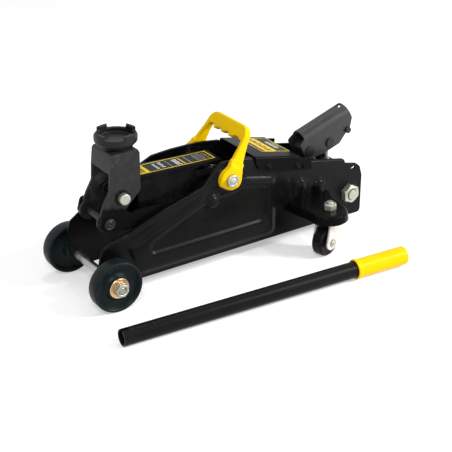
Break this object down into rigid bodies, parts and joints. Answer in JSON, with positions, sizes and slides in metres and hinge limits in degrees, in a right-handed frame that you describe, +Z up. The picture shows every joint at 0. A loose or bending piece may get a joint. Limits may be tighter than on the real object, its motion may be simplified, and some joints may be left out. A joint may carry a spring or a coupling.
{
  "type": "hydraulic floor jack",
  "caption": "Low trolley jack with a parallel-linkage lift arm, turning saddle cup, ram and pump unit, carry handle, swivel casters and a loose lever.",
  "frame": {"origin": "middle of the footprint on the floor, lever included", "axes": "+X to the jack's rear, +Y to its right side away from the lever, +Z up"},
  "size_m": [0.4274, 0.2898, 0.1987],
  "materials": {
    "black_gloss": "gloss black paint",
    "black_satin": "satin black powder coat",
    "cast_dark": "dark phosphated casting",
    "wheel_black": "moulded black nylon",
    "zinc": "bright zinc plate",
    "yellow_zinc": "yellow chromate zinc",
    "steel": "ground steel",
    "spring_steel": "oiled spring steel",
    "yellow_plastic": "yellow moulded plastic",
    "seal_rubber": "red seal rubber"
  },
  "bodies": {
    "chassis": {"left_side_plate": "black_gloss", "right_side_plate": "black_gloss", "front_axle": "steel", "axle_washer_left": "yellow_zinc", "axle_washer_right": "yellow_zinc", "axle_nut_left": "zinc", "axle_nut_right": "zinc", "main_pivot_shaft": "steel", "link_pin": "steel", "bail_bolt_left": "zinc", "bail_bolt_right": "zinc", "cover_plate": "black_gloss", "caster_wing_left": "black_gloss", "caster_wing_right": "black_gloss", "power_unit_base": "cast_dark", "reservoir_shell": "black_satin", "ram_cylinder": "steel", "gland_nut": "cast_dark", "oil_filler_plug": "seal_rubber", "pump_barrel": "steel", "pump_spring": "spring_steel", "rear_tie_bolt": "zinc", "rear_nut_left": "zinc", "rear_nut_right": "zinc", "return_spring_left": "spring_steel", "return_spring_right": "spring_steel", "caster_stud_left": "zinc", "caster_stud_right": "zinc"},
    "lift_arm": {"lift_arm_channel": "black_satin", "lift_arm_cheek_left": "black_gloss", "lift_arm_cheek_right": "black_gloss", "heel_pin": "steel", "saddle_pivot_bolt": "zinc"},
    "saddle_carrier": {"saddle_bracket": "black_satin", "upper_link_bolt": "zinc"},
    "saddle": {"saddle_cup": "cast_dark", "saddle_clip": "spring_steel"},
    "link_rods": {"link_rod_left": "steel", "link_rod_right": "steel"},
    "ram": {"ram_rod": "steel", "ram_seal": "seal_rubber", "ram_crosshead": "cast_dark"},
    "pump": {"pump_plunger": "steel"},
    "socket": {"handle_socket": "black_satin", "socket_pivot_pin": "zinc", "socket_roller_pin": "zinc", "lever_clamp_screw": "zinc"},
    "bail": {"carry_handle": "yellow_plastic"},
    "valve": {"release_valve": "zinc"},
    "wheel_left": {"front_wheel_left": "wheel_black"},
    "wheel_right": {"front_wheel_right": "wheel_black"},
    "swivel_left": {"caster_fork_left": "zinc", "caster_axle_left": "zinc"},
    "swivel_right": {"caster_fork_right": "zinc", "caster_axle_right": "zinc"},
    "roller_left": {"caster_wheel_left": "wheel_black"},
    "roller_right": {"caster_wheel_right": "wheel_black"},
    "lever": {"lever_tube": "black_gloss", "lever_grip": "yellow_plastic"}
  },
  "joints": [
    {"name": "lift_arm_hinge", "type": "hinge", "parent": "chassis", "child": "lift_arm", "pos_m": [-0.02732, 0.03294, 0.0933], "axis": [0, 1, 0], "range_deg": [-26, 45], "deforming": ["return_spring_left", "return_spring_right"]},
    {"name": "saddle_carrier_hinge", "type": "hinge", "parent": "lift_arm", "child": "saddle_carrier", "pos_m": [-0.16569, 0.03294, 0.0963], "axis": [0, 1, 0], "range_deg": [-45, 26]},
    {"name": "saddle_swivel", "type": "hinge", "parent": "saddle_carrier", "child": "saddle", "pos_m": [-0.13669, 0.03294, 0.1795], "axis": [0, 0, 1], "continuous": true},
    {"name": "link_rods_hinge", "type": "hinge", "parent": "chassis", "child": "link_rods", "pos_m": [-0.00552, 0.03294, 0.1198], "axis": [0, 1, 0], "range_deg": [-26, 45]},
    {"name": "ram_slide", "type": "slide", "parent": "chassis", "child": "ram", "axis": [-1, 0, 0], "range_m": [-0.0179, 0.031]},
    {"name": "handle_socket_hinge", "type": "hinge", "parent": "chassis", "child": "socket", "pos_m": [0.14167, 0.03294, 0.11148], "axis": [0, -1, 0], "range_deg": [0, 35]},
    {"name": "pump_slide", "type": "slide", "parent": "chassis", "child": "pump", "axis": [0, 0, 1], "range_m": [0, 0.0184], "deforming": ["pump_spring"]},
    {"name": "carry_handle_hinge", "type": "hinge", "parent": "chassis", "child": "bail", "pos_m": [-0.00552, 0.03294, 0.1198], "axis": [0, 1, 0], "range_deg": [-46, 15]},
    {"name": "release_valve_turn", "type": "hinge", "parent": "chassis", "child": "valve", "pos_m": [0.20667, 0.03294, 0.06698], "axis": [1, 0, 0], "range_deg": [0, 180]},
    {"name": "front_wheel_left_spin", "type": "hinge", "parent": "chassis", "child": "wheel_left", "pos_m": [-0.17733, -0.02666, 0.032], "axis": [0, 1, 0], "continuous": true},
    {"name": "front_wheel_right_spin", "type": "hinge", "parent": "chassis", "child": "wheel_right", "pos_m": [-0.17733, 0.09254, 0.032], "axis": [0, 1, 0], "continuous": true},
    {"name": "caster_left_swivel", "type": "hinge", "parent": "chassis", "child": "swivel_left", "pos_m": [0.12167, -0.05206, 0], "axis": [0, 0, 1], "continuous": true},
    {"name": "caster_left_spin", "type": "hinge", "parent": "swivel_left", "child": "roller_left", "pos_m": [0.1135, -0.05441, 0.02], "axis": [-0.2764, 0.9611, 0], "continuous": true},
    {"name": "caster_right_swivel", "type": "hinge", "parent": "chassis", "child": "swivel_right", "pos_m": [0.12167, 0.11794, 0], "axis": [0, 0, 1], "continuous": true},
    {"name": "caster_right_spin", "type": "hinge", "parent": "swivel_right", "child": "roller_right", "pos_m": [0.1135, 0.12029, 0.02], "axis": [0.2764, 0.9611, 0], "continuous": true},
    {"name": "lever_lift", "type": "slide", "parent": "chassis", "child": "lever", "axis": [0, 0, 1], "range_m": [0, 0.25]}
  ],
  "couplings": [
    {"joint": "saddle_carrier_hinge", "follows": "lift_arm_hinge", "ratio": -1},
    {"joint": "link_rods_hinge", "follows": "lift_arm_hinge", "ratio": 1},
    {"joint": "ram_slide", "follows": "lift_arm_hinge", "m_per_rad": 0.0394},
    {"joint": "pump_slide", "follows": "handle_socket_hinge", "m_per_rad": 0.03}
  ]
}
